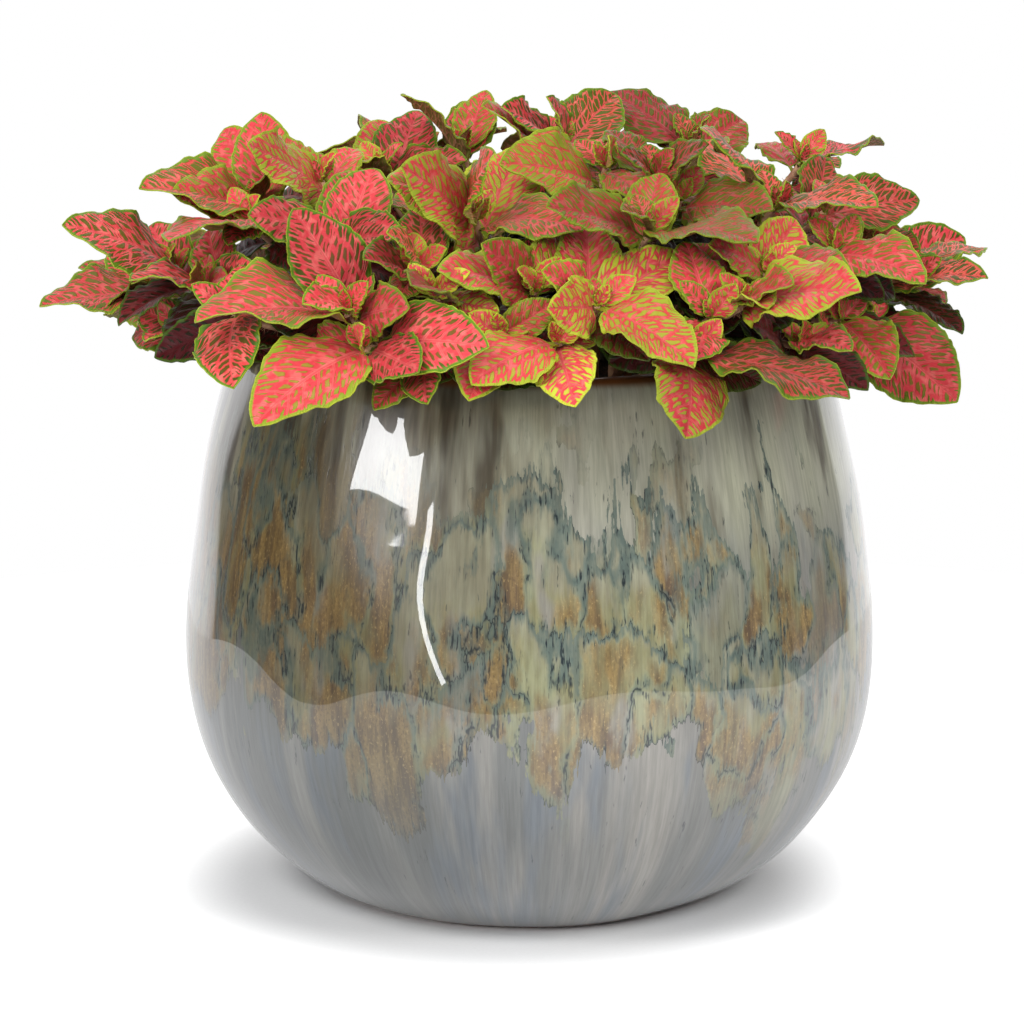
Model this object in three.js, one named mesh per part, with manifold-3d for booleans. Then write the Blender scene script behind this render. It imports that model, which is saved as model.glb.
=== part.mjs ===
// A nerve plant in a belly-shaped glazed pot: the pot, the soil that fills it, and the leafy stems that stand
// in the soil and spread over the rim. Millimetres, +Z up. The origin is the centre of the pot's flat base,
// and -Y is the front. Each leafy stem is one solid: a stem with its leaves, their roots sunk into it.
import * as THREE from "three";
import { mergeVertices } from "three/addons/utils/BufferGeometryUtils.js";
import Module from "manifold-3d";

const wasm = await Module();
wasm.setup();

// ---------------------------------------------------------------- driving dimensions

const POT_HEIGHT = 144;
const BELLY_RADIUS = 90;
const BELLY_HEIGHT = 64;
const RIM_RADIUS = 76;
const FOOT_RADIUS = 50;
const POT_WALL = 6;
const POT_FLOOR = 8;
const POT_SIDES = 40;
const SHOULDER_CURVE = 1.8; // how late the wall above the belly turns in
const FOOT_CURVE = 2.2; // how early the wall below the belly turns in
const FOOT_FULLNESS = 0.75; // less is fuller
const LIP = POT_WALL / 2; // radius of the rounded lip
const LIP_START = POT_HEIGHT - LIP;
const LIP_EASE = 0.6; // how far the lip has dropped near its two sides

const SOIL_LEVEL = 126; // soil level at the wall
const SOIL_CROWN = 3; // how much higher the soil is in the middle
const GAP = 0.3; // between pieces that touch

const STEM_RADIUS = 1.25;
const STEM_TIP_RADIUS = 0.9;
const STEM_SIDES = 4;
const STEM_DEPTH = 7; // how deep a stem stands in the soil
const ROOT_SHARE = 0.52; // a stem's root is this share of its crown's distance from the middle
const ROOT_SPACING = 5.5; // the least distance between two stems' roots
const RIM_CLEARANCE = 8; // how far above the rim a stem's curve is held
const LEAF_START = 0.8; // from the crown down to its youngest leaf
const LEAF_SPACING = 2.2; // from each leaf down the stem to the next older one

// Leaves face up, and lean: outwards, the more so far out and low down, and to the nearer of front and back.
const LEAN_MIDDLE = 0.15;
const LEAN_REACH = 0.7; // added at a crown 100 mm out
const LEAN_LOW = 0.025; // added for each millimetre below LOW_CROWN
const LOW_CROWN = 170;
const LEAN_TO_LIGHT = 0.65;
const BACK_STARTS = 25; // crowns with more than this y lean to the back

const LEAF_THICKNESS = 0.8;
const LEAF_CLEARANCE = 0.4; // free space that a leaf keeps to its neighbours
const SLIVER = 0.1; // detail smaller than this is smoothed away where leaves join a stem
const RIPPLES = 2; // waves along each margin
const FAR_SIDE = 2.4; // how far the far margin's waves run ahead
const PETIOLE = 0.16; // the leaf stalk's width, as a share of the blade's
const PETIOLE_END = 0.12; // where along the leaf the stalk ends

// Where along a blade its corners lie, by the leaf's least length.
const BLADE_STATIONS = [
  { least: 31, stations: [0.13, 0.33, 0.57, 0.8] },
  { least: 19, stations: [0.16, 0.45, 0.76] },
  { least: 0, stations: [0.28, 0.66] },
];

const radians = THREE.MathUtils.degToRad;
const vector = (x, y, z) => new THREE.Vector3(x, y, z);

// A seeded draw between two values (Lehmer's generator), so that the plant is the same each time.
let seed = 20611;
function between(low, high) {
  seed = (seed * 16807) % 2147483647;
  return low + ((high - low) * seed) / 2147483647;
}

// ---------------------------------------------------------------- the habit of each leafy stem

// One stem: the place of its crown, then its leaves from the lowest to the youngest. A leaf is the heading
// and the rise in degrees, and the distance in millimetres, of its tip from the crown, then any turn about
// its own length. Headings turn from +X towards +Y.
const stem = (x, y, z, leaves) => ({ crown: vector(x, y, z), leaves });

const STEMS = {
  left: [
    stem(-68, -20, 180, [[-150, 10, 34], [115, 35, 30], [-145, 10, 26], [90, 45, 26], [-80, 35, 14]]),
    stem(-69, -35, 177, [[-150, 5, 34], [-110, -15, 15], [-50, 0, 20]]),
    stem(-89, -25, 163, [[-150, 25, 34], [115, 30, 21], [-110, -5, 14]]),
    stem(-80, -45, 162, [[90, 35, 22], [-140, 10, 23], [-45, 20, 21], [-60, 20, 14]]),
    stem(-97, -10, 157, [[-155, -5, 30], [125, 25, 22], [-120, -5, 18], [-110, -10, 15]]),
    stem(-86, -30, 149, [[135, 0, 21], [-120, 0, 18], [135, 5, 18]]),
  ],
  front_left: [
    stem(-48, -55, 174, [[80, 35, 28], [65, 30, 28], [-45, 10, 26], [-140, 20, 27]]),
    stem(-43, -84, 161, [[-160, 0, 38, 25], [140, 40, 30], [-45, 10, 22], [-125, 15, 18], [85, 30, 20]]),
    stem(-39, -92, 154, [[-30, 5, 35], [-140, -25, 36], [-55, -20, 24], [135, 5, 24]]),
    stem(-71, -77, 161, [[-85, -30, 30], [85, 30, 18]]),
    stem(-25, -92, 151, [[-85, -25, 18], [-140, -20, 18]]),
  ],
  top_left: [
    stem(-52, -25, 186, [[-135, 25, 27], [65, 20, 20], [130, 10, 22]]),
    stem(-38, 5, 185, [[95, 35, 22], [60, 25, 24], [-120, 10, 19], [-45, 10, 24]]),
    stem(-13, -50, 179, [[-130, 30, 32], [65, 30, 32], [-145, 25, 29], [-35, 0, 32, -20], [-75, 45, 27]]),
    stem(-27, -72, 170, [[80, 35, 24], [-105, -20, 16], [-115, 35, 19]]),
    stem(-26, -30, 177, [[75, 20, 18], [-125, 20, 21]]),
  ],
  top: [
    stem(-17, 15, 189, [[-140, 15, 27], [80, 35, 22], [65, 25, 21]]),
    stem(8, -5, 193, [[-140, 25, 29], [-105, 45, 20], [55, 25, 28], [-145, 5, 24]]),
    stem(19, -30, 190, [[-150, 5, 31], [130, 10, 24], [-60, -20, 20]]),
  ],
  top_right: [
    stem(29, -62, 178, [[80, 35, 22], [-40, 0, 33, -30], [-145, 15, 32], [-120, 25, 16]]),
    stem(31, -35, 188, [[-60, 30, 20], [95, 40, 24], [-125, 20, 19]]),
    stem(42, 10, 191, [[-60, 10, 18], [115, 25, 21], [50, 15, 23], [145, 20, 30]]),
    stem(37, -40, 183, [[-40, 0, 29], [65, 5, 14]]),
  ],
  front: [
    stem(16, -84, 163, [[95, 35, 32], [55, 20, 29], [-140, 30, 20], [-150, 5, 22], [-40, -22, 32]]),
    stem(1, -75, 165, [[125, 20, 24], [-145, 15, 29], [65, 30, 24]]),
    stem(7, -90, 155, [[-80, -30, 24], [55, 0, 17], [-140, -15, 28]]),
    stem(-22, -84, 165, [[-20, 5, 24], [115, 15, 16]]),
    stem(-7, -88, 156, [[-110, -30, 24], [150, 0, 20], [-30, 10, 16]]),
  ],
  front_right: [
    stem(38, -90, 152, [[-95, -35, 28], [120, 25, 22], [-18, -12, 40, -50]]),
    stem(51, -80, 163, [[115, 25, 28], [-35, 10, 33, -25], [-75, -20, 18], [-55, 20, 20]]),
    stem(43, -84, 160, [[-105, -25, 18], [110, 30, 24]]),
    stem(57, -65, 168, [[65, 30, 23], [-45, 5, 27], [-140, 25, 21]]),
  ],
  right: [
    stem(61, -30, 180, [[-145, 25, 35], [125, 20, 33], [-40, 5, 32]]),
    stem(74, -22, 178, [[85, 35, 22], [20, 5, 27, -15], [-70, -20, 20]]),
    stem(71, 20, 186, [[30, 8, 27, -45], [115, 5, 19], [-60, -5, 18]]),
    stem(87, -5, 170, [[-95, 45, 20], [-70, -10, 17], [-120, 10, 15]]),
    stem(75, -45, 171, [[-45, -10, 30], [120, 5, 19]]),
    stem(96, -10, 159, [[-20, 5, 22, -15], [-90, 35, 19], [40, 25, 30, -60], [100, 25, 20]]),
  ],
  low_right: [
    stem(77, -45, 154, [[80, 35, 24], [-120, 20, 16], [50, -15, 18], [-65, -25, 27, 30]]),
    stem(86, -20, 150, [[-50, -28, 36, 45], [75, 10, 16]]),
    stem(65, -70, 151, [[-55, 5, 20], [40, -15, 22]]),
  ],
};

// The back of the plant has no leaf-by-leaf plan: its crowns stand on three arcs round the dome, and each
// carries crosswise pairs of leaves, the lower pair to both sides and the upper one out and in.
const BACK_ARCS = [
  { reach: 94, height: 153, from: 10, to: 170, crowns: 8 },
  { reach: 70, height: 169, from: 35, to: 145, crowns: 5 },
  { reach: 52, height: 184, from: 70, to: 120, crowns: 2 },
];
const LEAF_PAIRS = [
  { turns: [70, -70], rise: -3, length: 33 },
  { turns: [0, 180], rise: 12, length: 31 },
];

function backStem({ reach, height, from, to, crowns }, i) {
  const heading = from + ((to - from) * i) / (crowns - 1) + between(-4, 4);
  const out = reach + between(-5, 5);
  const leaves = LEAF_PAIRS.flatMap(({ turns, rise, length }) =>
    turns.map((turn) => [
      heading + turn + between(-15, 15),
      rise + between(-10, 10),
      length + between(-4, 2),
    ]),
  );
  const x = out * Math.cos(radians(heading));
  const y = out * Math.sin(radians(heading));
  return stem(x, y, height + between(-4, 4), leaves);
}
STEMS.back = BACK_ARCS.flatMap((arc) => Array.from({ length: arc.crowns }, (_, i) => backStem(arc, i)));

// ---------------------------------------------------------------- solids

// A closed mesh from its points and triangles, as a solid that can be joined and cut.
function solidFrom(points, triangles) {
  return new wasm.Manifold(
    new wasm.Mesh({
      numProp: 3,
      vertProperties: new Float32Array(points.flatMap((p) => [p.x, p.y, p.z])),
      triVerts: new Uint32Array(triangles.flat()),
    }),
  );
}

function turnedSolid(profile) {
  const geometry = new THREE.LatheGeometry(profile, POT_SIDES);
  geometry.rotateX(Math.PI / 2);
  geometry.deleteAttribute("normal");
  geometry.deleteAttribute("uv");
  const merged = mergeVertices(geometry, 1e-3);
  return new wasm.Manifold(
    new wasm.Mesh({
      numProp: 3,
      vertProperties: merged.attributes.position.array,
      triVerts: new Uint32Array(merged.index.array),
    }),
  );
}

// A flat-sided tube through stations of {centre, radius}. sideways is a level direction square to its path.
function tube(stations, sideways) {
  const points = [];
  const triangles = [];
  stations.forEach(({ centre, radius }, i) => {
    const before = stations[Math.max(i - 1, 0)].centre;
    const after = stations[Math.min(i + 1, stations.length - 1)].centre;
    const along = after.clone().sub(before).normalize();
    const inwards = vector(0, 0, 0).crossVectors(along, sideways).normalize();
    for (let k = 0; k < STEM_SIDES; k++) {
      const turn = (2 * Math.PI * k) / STEM_SIDES;
      const point = centre.clone().addScaledVector(sideways, radius * Math.cos(turn));
      points.push(point.addScaledVector(inwards, radius * Math.sin(turn)));
    }
  });
  const last = (stations.length - 1) * STEM_SIDES;
  for (let ring = 0; ring < last; ring += STEM_SIDES)
    for (let k = 0; k < STEM_SIDES; k++) {
      const a = ring + k;
      const b = ring + ((k + 1) % STEM_SIDES);
      triangles.push([a, b, b + STEM_SIDES], [a, b + STEM_SIDES, a + STEM_SIDES]);
    }
  for (let k = 1; k < STEM_SIDES - 1; k++) triangles.push([0, k + 1, k], [last, last + k, last + k + 1]);
  return solidFrom(points, triangles);
}

// ---------------------------------------------------------------- pot and soil

// The outside: a full curve from the foot up to the belly, then drawn in gently to the rim.
function potRadius(z) {
  if (z > BELLY_HEIGHT) {
    const rise = (z - BELLY_HEIGHT) / (POT_HEIGHT - BELLY_HEIGHT);
    return BELLY_RADIUS - (BELLY_RADIUS - RIM_RADIUS) * rise ** SHOULDER_CURVE;
  }
  const drop = 1 - z / BELLY_HEIGHT;
  return FOOT_RADIUS + (BELLY_RADIUS - FOOT_RADIUS) * (1 - drop ** FOOT_CURVE) ** FOOT_FULLNESS;
}

// The inside of the wall, from the floor up to the lip, with a further gap inside it.
function wallInside(gap) {
  const heights = [0, 0.1, 0.3, 0.6, 1].map((share) => POT_FLOOR + share * (LIP_START - POT_FLOOR));
  return heights.map((z, i) => new THREE.Vector2(potRadius(z) - POT_WALL - gap, i ? z : z + gap));
}

function makePot() {
  const outside = [0, 0.02, 0.06, 0.13, 0.23, 0.36, 0.52, 0.7, 0.87, 1].map((share) => share * LIP_START);
  const profile = [
    new THREE.Vector2(0, 0),
    ...outside.map((z) => new THREE.Vector2(potRadius(z), z)),
    new THREE.Vector2(RIM_RADIUS - 0.3 * LIP, POT_HEIGHT - LIP_EASE),
    new THREE.Vector2(RIM_RADIUS - LIP, POT_HEIGHT),
    new THREE.Vector2(RIM_RADIUS - 1.7 * LIP, POT_HEIGHT - LIP_EASE),
    ...wallInside(0).reverse(),
    new THREE.Vector2(0, POT_FLOOR),
  ];
  return turnedSolid(profile);
}

const soilLevel = (r) => SOIL_LEVEL + SOIL_CROWN * (1 - (r / RIM_RADIUS) ** 2);

function makeSoil(plants) {
  const wall = wallInside(GAP);
  const [below, above] = wall.splice(-2);
  const filled = (SOIL_LEVEL - below.y) / (above.y - below.y);
  const profile = [
    new THREE.Vector2(0, POT_FLOOR + GAP),
    ...wall,
    below,
    below.clone().lerp(above, filled),
    new THREE.Vector2(RIM_RADIUS / 2, soilLevel(RIM_RADIUS / 2)),
    new THREE.Vector2(0, soilLevel(0)),
  ];
  let soil = turnedSolid(profile);
  for (const { line, sideways } of plants) {
    const bottom = line[0].clone().setZ(line[0].z - GAP);
    const top = line[0].clone().setZ(line[0].z + 3 * STEM_DEPTH);
    const radius = STEM_RADIUS + GAP / Math.cos(Math.PI / STEM_SIDES);
    soil = soil.subtract(tube([bottom, top].map((centre) => ({ centre, radius })), sideways));
  }
  return soil;
}

// ---------------------------------------------------------------- stems

// A stem rises upright out of the soil and bows outwards over the rim to its crown.
function stemLine(crown, shift) {
  const root = vector(crown.x * ROOT_SHARE + shift.x, crown.y * ROOT_SHARE + shift.y, 0);
  root.z = soilLevel(Math.hypot(root.x, root.y));
  const rise = crown.z - root.z;
  const overRim = POT_HEIGHT + RIM_CLEARANCE;
  const upright = vector(root.x, root.y, Math.max(root.z + 0.6 * rise, overRim));
  const inside = root.clone().lerp(crown, 0.72).setZ(Math.max(crown.z - 0.25 * rise, overRim));
  const bow = new THREE.CubicBezierCurve3(root, upright, inside, crown);
  const bottom = root.clone().setZ(root.z - STEM_DEPTH);
  return [bottom, root.clone().setZ(root.z + 1), ...[0.4, 0.7, 1].map((share) => bow.getPoint(share))];
}

function stemSolid(line, sideways, margin) {
  const stations = line.map((centre, i) => {
    const radius = THREE.MathUtils.lerp(STEM_RADIUS, STEM_TIP_RADIUS, i / (line.length - 1));
    return { centre, radius: radius + margin };
  });
  return tube(stations, sideways);
}

// ---------------------------------------------------------------- leaves

// A leaf's own habit, drawn once: how broad it is, how it bends, folds, curls, twists and waves.
function leafHabit() {
  return {
    breadth: between(0.56, 0.68),
    bend: between(0.35, 0.95),
    fold: between(0.08, 0.3),
    curl: between(0, 0.22),
    twist: between(-0.35, 0.35),
    wave: between(0.1, 0.2),
    phase: between(-2.3, -1.3) + (between(0, 1) < 0.5 ? Math.PI : 0),
    roll: between(-14, 14),
  };
}

// Half the blade's width along its length, as a share of its widest: a narrow stalk, then an egg shape.
function outline(t) {
  const along = Math.max(0, (t - PETIOLE_END) / (1 - PETIOLE_END));
  return Math.max(PETIOLE, Math.sin(Math.PI * along ** 0.8) ** 0.7);
}

// The leaf's frame: along runs from its root on the stem to its tip, and face is the way its upper side
// looks. change holds what is altered to keep the leaf clear of others.
function placeLeaf(plant, index, change) {
  const [heading, rise, distance, roll = 0] = plant.leaves[index];
  const habit = plant.habits[index];
  const turn = radians(heading + change.heading);
  const climb = radians(rise + change.rise);
  const reach = distance * change.length;
  const flat = Math.cos(climb) * reach;
  const tip = vector(flat * Math.cos(turn), flat * Math.sin(turn), Math.sin(climb) * reach).add(plant.crown);
  const [below, top] = plant.line.slice(-2);
  const down = LEAF_START + LEAF_SPACING * (plant.leaves.length - 1 - index);
  const root = top.clone().lerp(below, Math.min(0.8, down / top.distanceTo(below)));
  const along = tip.clone().sub(root);
  const length = along.length();
  along.normalize();
  const face = plant.lean.clone().addScaledVector(along, -plant.lean.dot(along)).normalize();
  face.applyAxisAngle(along, radians(roll + habit.roll + change.roll));
  const side = vector(0, 0, 0).crossVectors(along, face);
  return { ...habit, root, along, face, side, length, halfWidth: (length * habit.breadth) / 2 };
}

// A point of the blade. t runs from root to tip on an arc that bends down, and s from -1 to 1 across: the two
// halves fold up from the midrib, and the margin curls down and is waved. margin widens the blade.
function leafPoint(leaf, t, s, lift, margin) {
  const { root, along, face, side, length, bend } = leaf;
  const angle = bend * (0.5 - t);
  const gone = (1 - Math.sin(angle) / Math.sin(bend / 2)) / 2;
  const arched = (Math.cos(angle) - Math.cos(bend / 2)) / bend;
  const middle = root.clone().addScaledVector(along, length * gone).addScaledVector(face, length * arched);
  const up = face.clone().multiplyScalar(Math.cos(angle)).addScaledVector(along, -Math.sin(angle));
  const turn = leaf.twist * (t - 0.3);
  const across = side.clone().multiplyScalar(Math.cos(turn)).addScaledVector(up, Math.sin(turn));
  const normal = up.clone().multiplyScalar(Math.cos(turn)).addScaledVector(side, -Math.sin(turn));
  const reach = leaf.halfWidth * outline(t) * Math.abs(s) + (s ? margin : 0);
  const ahead = leaf.phase + (s < 0 ? FAR_SIDE : 0);
  const wave = leaf.wave * Math.sin(2 * Math.PI * RIPPLES * t + ahead);
  const height = reach * (Math.sin(leaf.fold) + Math.abs(s) * (wave - leaf.curl)) + lift;
  const sideways = Math.sign(s) * reach * Math.cos(leaf.fold);
  return middle.addScaledVector(across, sideways).addScaledVector(normal, height);
}

// The blade: its root, both margins at the first station, then left margin, midrib and right margin at each
// further station, and its tip. Both faces are split into the same triangles.
function bladeSolid(leaf, thickness, margin) {
  const { stations } = BLADE_STATIONS.find(({ least }) => leaf.length >= least);
  const [first, ...others] = stations;
  const points = [];
  for (const lift of [thickness / 2, -thickness / 2]) {
    points.push(leafPoint(leaf, 0, 0, lift, 0));
    for (const s of [-1, 1]) points.push(leafPoint(leaf, first, s, lift, margin));
    for (const t of others) for (const s of [-1, 0, 1]) points.push(leafPoint(leaf, t, s, lift, margin));
    points.push(leafPoint(leaf, 1, 0, lift, 0));
  }
  const half = points.length / 2;
  const tip = half - 1;
  const face = [[0, 1, 2], [1, 3, 4], [1, 4, 2], [2, 4, 5], [tip - 3, tip, tip - 2], [tip - 2, tip, tip - 1]];
  for (let a = 3; a < tip - 3; a += 3)
    face.push([a, a + 3, a + 4], [a, a + 4, a + 1], [a + 1, a + 4, a + 5], [a + 1, a + 5, a + 2]);
  const leftEdge = others.map((_, i) => 3 * i + 3);
  const rightEdge = others.map((_, i) => 3 * i + 5).reverse();
  const edge = [0, 1, ...leftEdge, tip, ...rightEdge, 2];
  const triangles = face.flatMap(([a, b, c]) => [[a, c, b], [a + half, b + half, c + half]]);
  edge.forEach((a, i) => {
    const b = edge[(i + 1) % edge.length];
    triangles.push([a, b, b + half], [a, b + half, a + half]);
  });
  return solidFrom(points, triangles);
}

// ---------------------------------------------------------------- stems and leaves kept clear of each other

// The changes that a leaf may take, the least first.
const CHANGES = [];
for (const length of [1, 0.9, 0.8, 0.68])
  for (const heading of [0, 9, -9, 18, -18, 27, -27])
    for (const rise of [0, 7, -7, 14, -14, 24])
      for (const roll of [0, 16, -16]) CHANGES.push({ length, heading, rise, roll });
const effort = ({ length, heading, rise, roll }) =>
  Math.abs(heading) / 9 + Math.abs(rise) / 7 + Math.abs(roll) / 20 + (1 - length) * 14;
CHANGES.sort((a, b) => effort(a) - effort(b));

// The ways that a stem's root may be moved, the least first.
const SHIFTS = [vector(0, 0, 0)];
for (const distance of [3, 6, 9, 12])
  for (let turn = 0; turn < 360; turn += 45)
    SHIFTS.push(vector(distance * Math.cos(radians(turn)), distance * Math.sin(radians(turn)), 0));

const SIBLING_OVERLAP = 0.3; // cubic millimetres that two leaves of one stem may share near their roots

// What is in place, as {solid, box, owner}.
const placed = [];
function keep(solid, owner) {
  placed.push({ solid, box: solid.boundingBox(), owner });
}

const boxesMeet = (a, b) =>
  [0, 1, 2].every((axis) => a.min[axis] <= b.max[axis] && b.min[axis] <= a.max[axis]);

function meets(solid, concerns, limit) {
  const box = solid.boundingBox();
  return placed.some(
    (other) =>
      concerns(other) &&
      boxesMeet(box, other.box) &&
      solid.intersect(other.solid).volume() > limit,
  );
}

function leanOf({ x, y, z }) {
  const reach = Math.hypot(x, y);
  const lean = LEAN_MIDDLE + LEAN_REACH * (reach / 100) ** 2 + LEAN_LOW * Math.max(0, LOW_CROWN - z);
  const toLight = y < BACK_STARTS ? -LEAN_TO_LIGHT : LEAN_TO_LIGHT;
  return vector((x / reach) * lean, (y / reach) * lean + toLight, 1).normalize();
}

function plantStem(name, { crown, leaves }, plants) {
  const reach = Math.hypot(crown.x, crown.y);
  const sideways = vector(-crown.y / reach, crown.x / reach, 0);
  const isFree = (shift) => {
    const line = stemLine(crown, shift);
    const spaced = plants.every((other) => other.line[0].distanceTo(line[0]) > ROOT_SPACING);
    return spaced && !meets(stemSolid(line, sideways, LEAF_CLEARANCE), () => true, 0);
  };
  const line = stemLine(crown, SHIFTS.find(isFree));
  const solid = stemSolid(line, sideways, 0);
  keep(solid, name);
  return { name, crown, leaves, habits: leaves.map(leafHabit), lean: leanOf(crown), line, sideways, solid };
}

// A leaf takes the first change that keeps it clear of all else, or else of all but its own stem's leaves.
function fitLeaf(plant, index) {
  const clearOf = (concerns, growth, limit) => (change) => {
    const leaf = placeLeaf(plant, index, change);
    return !meets(bladeSolid(leaf, LEAF_THICKNESS + 2 * growth, growth), concerns, limit);
  };
  const isSibling = ({ owner, solid }) => owner === plant.name && solid !== plant.solid;
  const clearOfSiblings = clearOf(isSibling, 0, SIBLING_OVERLAP);
  const clearOfOthers = clearOf(({ owner }) => owner !== plant.name, LEAF_CLEARANCE, 0);
  const best = CHANGES.find((change) => clearOfSiblings(change) && clearOfOthers(change));
  const blade = bladeSolid(placeLeaf(plant, index, best ?? CHANGES.find(clearOfOthers)), LEAF_THICKNESS, 0);
  keep(blade, plant.name);
  return blade;
}

const pot = makePot();
keep(pot, "pot");
const plants = [];
for (const [region, stems] of Object.entries(STEMS))
  stems.forEach((row, i) => plants.push(plantStem(`leafy_stem_${region}_${i + 1}`, row, plants)));
const soil = makeSoil(plants);
keep(soil, "soil");

// ---------------------------------------------------------------- the group

const group = new THREE.Group();

function addNode(name, solid, colour, roughness) {
  const mesh = solid.getMesh();
  const geometry = new THREE.BufferGeometry();
  geometry.setAttribute("position", new THREE.BufferAttribute(mesh.vertProperties, 3));
  geometry.setIndex(new THREE.BufferAttribute(mesh.triVerts, 1));
  geometry.computeVertexNormals();
  const part = new THREE.Mesh(geometry, new THREE.MeshStandardMaterial({ color: colour, roughness }));
  part.name = name;
  group.add(part);
}

addNode("pot", pot, 0x7d8b8c, 0.15);
addNode("soil", soil, 0x2b211b, 0.95);
for (const plant of plants) {
  const blades = plant.leaves.map((_, index) => fitLeaf(plant, index));
  const whole = wasm.Manifold.union([plant.solid, ...blades]);
  addNode(plant.name, whole.simplify(SLIVER), 0xc4524d, 0.6);
}

export default group;
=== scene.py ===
import bpy
import math
import random
from mathutils import Matrix, Quaternion, Vector
from mathutils.kdtree import KDTree


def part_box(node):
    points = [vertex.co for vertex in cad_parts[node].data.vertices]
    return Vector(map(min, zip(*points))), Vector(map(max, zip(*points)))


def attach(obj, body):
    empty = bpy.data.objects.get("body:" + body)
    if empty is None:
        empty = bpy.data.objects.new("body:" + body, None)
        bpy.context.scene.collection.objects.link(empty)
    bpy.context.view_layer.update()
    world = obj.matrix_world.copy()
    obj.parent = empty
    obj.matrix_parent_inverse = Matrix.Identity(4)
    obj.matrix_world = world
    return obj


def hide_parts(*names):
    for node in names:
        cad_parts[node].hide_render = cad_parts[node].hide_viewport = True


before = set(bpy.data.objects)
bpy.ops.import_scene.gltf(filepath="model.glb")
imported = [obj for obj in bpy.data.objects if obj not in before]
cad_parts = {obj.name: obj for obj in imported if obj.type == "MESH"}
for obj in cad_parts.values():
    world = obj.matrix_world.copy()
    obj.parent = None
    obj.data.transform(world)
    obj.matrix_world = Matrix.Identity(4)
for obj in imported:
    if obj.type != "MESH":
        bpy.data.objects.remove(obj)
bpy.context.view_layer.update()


# ------------------------------------------------------------------ table top, light and camera
# A round white sheet carries the pot. Round it stands a white studio, bright behind and overhead and dim in
# front, so that the glaze shows a dark reflection between bright edges.
def sockets(node, values):
    """Sets a node's inputs by name or number: another node's output is linked, and a value is stored."""
    for name, value in values.items():
        if isinstance(value, bpy.types.NodeSocket):
            node.id_data.links.new(value, node.inputs[name])
        else:
            node.inputs[name].default_value = value
    return node


def add_node(tree, kind, settings=None, values=None):
    """One shader node, with its settings and its inputs."""
    node = tree.nodes.new("ShaderNode" + kind)
    for name, value in (settings or {}).items():
        setattr(node, name, value)
    return sockets(node, values or {})


def maths(tree, operation, *values):
    """The result of a Math node. From the third on, the values are taken in one after another."""
    result = add_node(tree, "Math", {"operation": operation}, dict(enumerate(values[:2]))).outputs[0]
    for value in values[2:]:
        result = maths(tree, operation, result, value)
    return result


def product(tree, *values):
    """The values multiplied."""
    return maths(tree, "MULTIPLY", *values)


def vector_maths(tree, operation, *values):
    """What a Vector Math node gives: first the vector, then the value."""
    return add_node(tree, "VectorMath", {"operation": operation}, dict(enumerate(values))).outputs


def axes_of(tree, vector):
    """A vector's X, Y and Z."""
    return add_node(tree, "SeparateXYZ", None, {0: vector}).outputs


def smooth_step(tree, value, low, high):
    """0 where the value is below low, 1 where it is above high, and smooth between. high may be the lower."""
    values = {"Value": value, "From Min": low, "From Max": high}
    return add_node(tree, "MapRange", {"interpolation_type": "SMOOTHSTEP"}, values).outputs[0]


def blend_colours(tree, share, first, second, way="MIX"):
    """The first colour, turned into the second one by the share."""
    settings = {"data_type": "RGBA", "blend_type": way}
    return add_node(tree, "Mix", settings, {0: share, 6: first, 7: second}).outputs[2]


def paint(red, green, blue):
    """A colour given as it is seen on a screen, from 0 to 255, in the shader's own linear scale."""
    seen = [channel / 255 for channel in (red, green, blue)]
    return [c / 12.92 if c <= 0.04045 else ((c + 0.055) / 1.055) ** 2.4 for c in seen] + [1.0]


def finish_surface(name, roughness):
    """A new material, its node tree and its Principled BSDF."""
    material = bpy.data.materials.new(name)
    material.use_nodes = True
    shader = material.node_tree.nodes["Principled BSDF"]
    sockets(shader, {"Roughness": roughness})
    return material, material.node_tree, shader


scene = bpy.context.scene
scene.view_settings.view_transform = "Standard"

TABLE_RADIUS = 0.42
SHADOW_MIDDLE = (-0.006, 0.0, 0.0)
SHADOW_INSIDE = 0.068
SHADOW_OUTSIDE = 0.1
SHEET_GLOW = 0.5
bpy.ops.object.select_all(action="DESELECT")
bpy.ops.mesh.primitive_circle_add(vertices=96, radius=TABLE_RADIUS, fill_type="NGON")
table = bpy.context.object
table.name = "table_top"
# Away from the pot's foot the sheet glows a little, and to the camera only, so it melts into the backdrop.
sheet, tree, shader = finish_surface("white_sheet", 0.9)
grain = add_node(tree, "TexNoise", None, {"Scale": 900.0, "Detail": 2.0}).outputs[0]
white = blend_colours(tree, grain, paint(218, 218, 218), paint(226, 226, 226))
place = add_node(tree, "TexCoord").outputs["Object"]
from_foot = vector_maths(tree, "DISTANCE", place, SHADOW_MIDDLE)[1]
lit = smooth_step(tree, from_foot, SHADOW_INSIDE, SHADOW_OUTSIDE)
glow = product(tree, lit, add_node(tree, "LightPath").outputs["Is Camera Ray"])
glow = add_node(tree, "CombineXYZ", None, {0: glow, 1: glow, 2: glow}).outputs[0]
sockets(shader, {"Base Color": white, "Emission Color": glow, "Emission Strength": SHEET_GLOW})
table.data.materials.append(sheet)

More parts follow.
